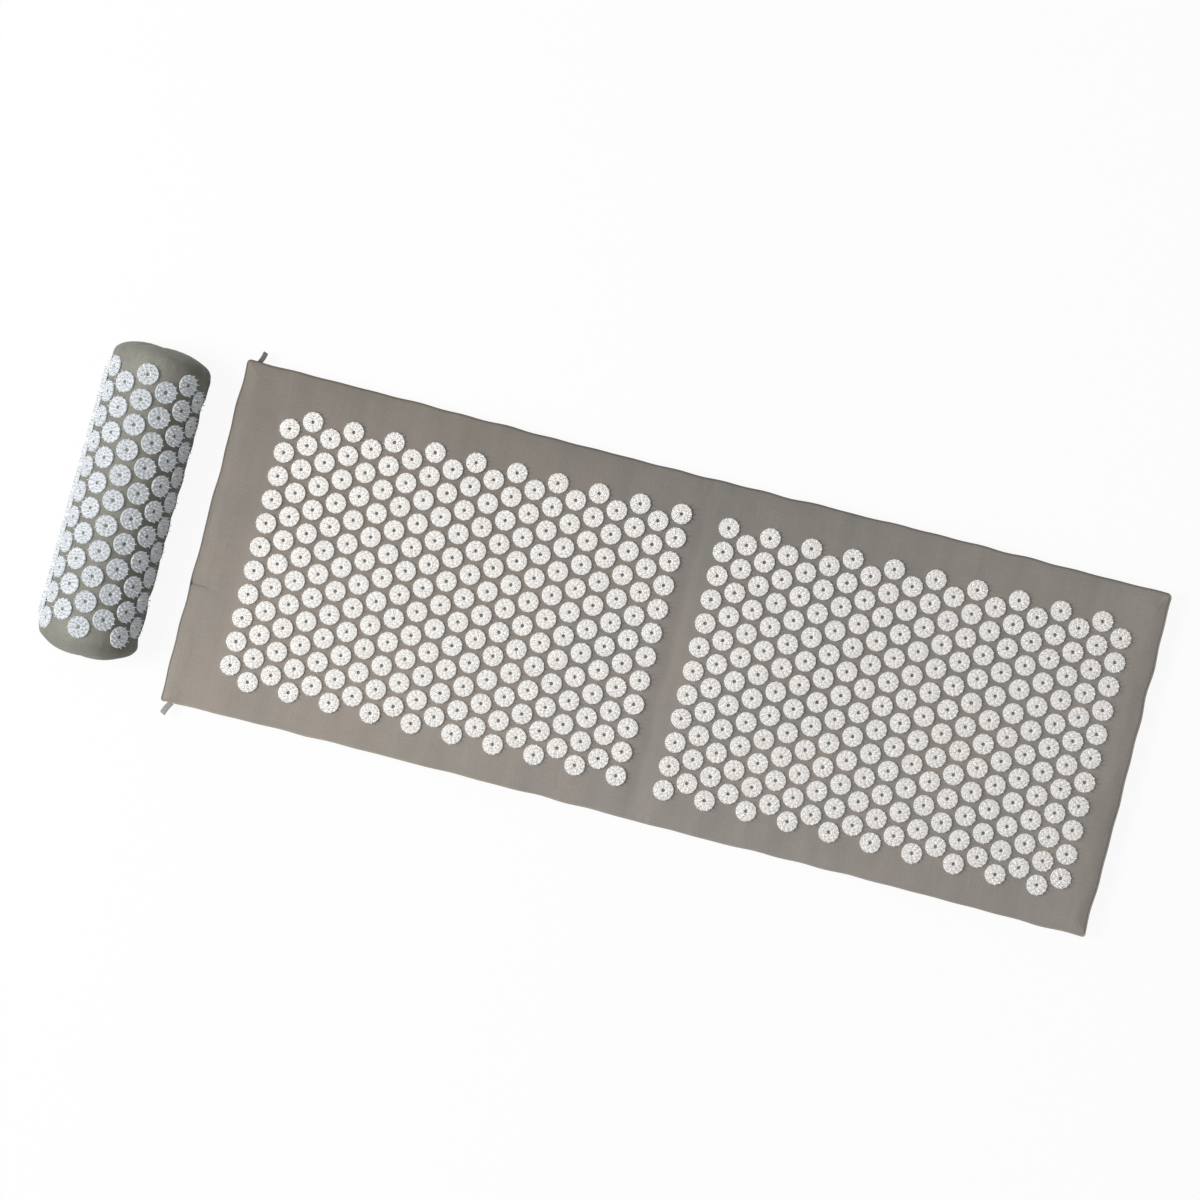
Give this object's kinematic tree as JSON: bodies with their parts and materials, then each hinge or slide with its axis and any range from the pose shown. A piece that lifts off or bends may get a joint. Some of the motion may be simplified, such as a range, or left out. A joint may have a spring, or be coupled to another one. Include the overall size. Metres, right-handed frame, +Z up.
{
  "type": "acupressure mat",
  "caption": "Long padded cloth mat with two fields of spiked plastic discs, a fold line between them, and a separate half-round neck pillow with the same discs",
  "frame": {"origin": "middle of the left half's flat underside, on the floor", "axes": "+X along the mat from the pillow towards the far end, +Y across the mat, +Z up out of the discs"},
  "size_m": [1.5073, 0.5219, 0.1035],
  "materials": {
    "mat_cloth": "matte woven",
    "pillow_cloth": "matte woven",
    "disc_plastic": "satin",
    "foam": "open cell foam",
    "tape": "ribbed tape",
    "zip_tape": "woven tape with nylon coil",
    "zip_metal": "satin"
  },
  "bodies": {
    "mat_left_half": {"left_top_cover": "mat_cloth", "left_bottom_cover": "mat_cloth", "left_front_border": "mat_cloth", "left_rear_border": "mat_cloth", "left_end_border_lower": "mat_cloth", "left_end_border_upper": "mat_cloth", "left_foam_core": "foam", "fold_top_cover": "mat_cloth", "fold_foam_web": "foam", "mat_zip_lower_half": "zip_tape", "mat_zip_upper_half": "zip_tape", "rear_corner_loop": "tape", "front_corner_loop": "tape", "left_disc_strip_01": "disc_plastic", "left_disc_strip_02": "disc_plastic", "left_disc_strip_03": "disc_plastic", "left_disc_strip_04": "disc_plastic", "left_disc_strip_05": "disc_plastic", "left_disc_strip_06": "disc_plastic", "left_disc_strip_07": "disc_plastic", "left_disc_strip_08": "disc_plastic", "left_disc_strip_09": "disc_plastic", "left_disc_strip_10": "disc_plastic"},
    "mat_right_half": {"right_top_cover": "mat_cloth", "right_bottom_cover": "mat_cloth", "right_front_border": "mat_cloth", "right_rear_border": "mat_cloth", "right_end_border": "mat_cloth", "right_foam_core": "foam", "right_disc_strip_01": "disc_plastic", "right_disc_strip_02": "disc_plastic", "right_disc_strip_03": "disc_plastic", "right_disc_strip_04": "disc_plastic", "right_disc_strip_05": "disc_plastic", "right_disc_strip_06": "disc_plastic", "right_disc_strip_07": "disc_plastic", "right_disc_strip_08": "disc_plastic", "right_disc_strip_09": "disc_plastic", "right_disc_strip_10": "disc_plastic"},
    "pillow": {"pillow_cover": "pillow_cloth", "pillow_zip_flap": "pillow_cloth", "pillow_base": "pillow_cloth", "pillow_front_end": "pillow_cloth", "pillow_rear_end": "pillow_cloth", "pillow_foam_core": "foam", "pillow_zip_lower_half": "zip_tape", "pillow_zip_upper_half": "zip_tape", "pillow_disc_line_a": "disc_plastic", "pillow_disc_line_b": "disc_plastic", "pillow_disc_line_c": "disc_plastic", "pillow_disc_line_d": "disc_plastic", "pillow_disc_line_e": "disc_plastic", "pillow_disc_line_f": "disc_plastic", "pillow_disc_line_g": "disc_plastic"},
    "mat_zip_slider": {"mat_zip_slider": "zip_metal"},
    "mat_zip_pull": {"mat_zip_pull": "zip_metal"},
    "pillow_zip_slider": {"pillow_zip_slider": "zip_metal"},
    "pillow_zip_pull": {"pillow_zip_pull": "zip_metal"}
  },
  "joints": [
    {"name": "mat_fold", "type": "hinge", "parent": "mat_left_half", "child": "mat_right_half", "pos_m": [0.344, 0, 0.0326], "axis": [0, -1, 0], "range_deg": [0, 180]},
    {"name": "pillow_lift", "type": "slide", "parent": "mat_left_half", "child": "pillow", "axis": [0, 0, 1], "range_m": [0, 0.3]},
    {"name": "mat_zip_run", "type": "slide", "parent": "mat_left_half", "child": "mat_zip_slider", "axis": [0, 1, 0], "range_m": [0, 0.393]},
    {"name": "mat_zip_pull_flip", "type": "hinge", "parent": "mat_zip_slider", "child": "mat_zip_pull", "pos_m": [-0.32622, -0.1965, 0.0112], "axis": [0, 0, 1], "range_deg": [0, 180]},
    {"name": "pillow_zip_run", "type": "slide", "parent": "pillow", "child": "pillow_zip_slider", "axis": [0.0209, 0.9998, 0], "range_m": [0, 0.3386]},
    {"name": "pillow_zip_pull_flip", "type": "hinge", "parent": "pillow_zip_slider", "child": "pillow_zip_pull", "pos_m": [-0.51942, -0.15481, 0.0165], "axis": [0, 0, 1], "range_deg": [0, 180]}
  ]
}
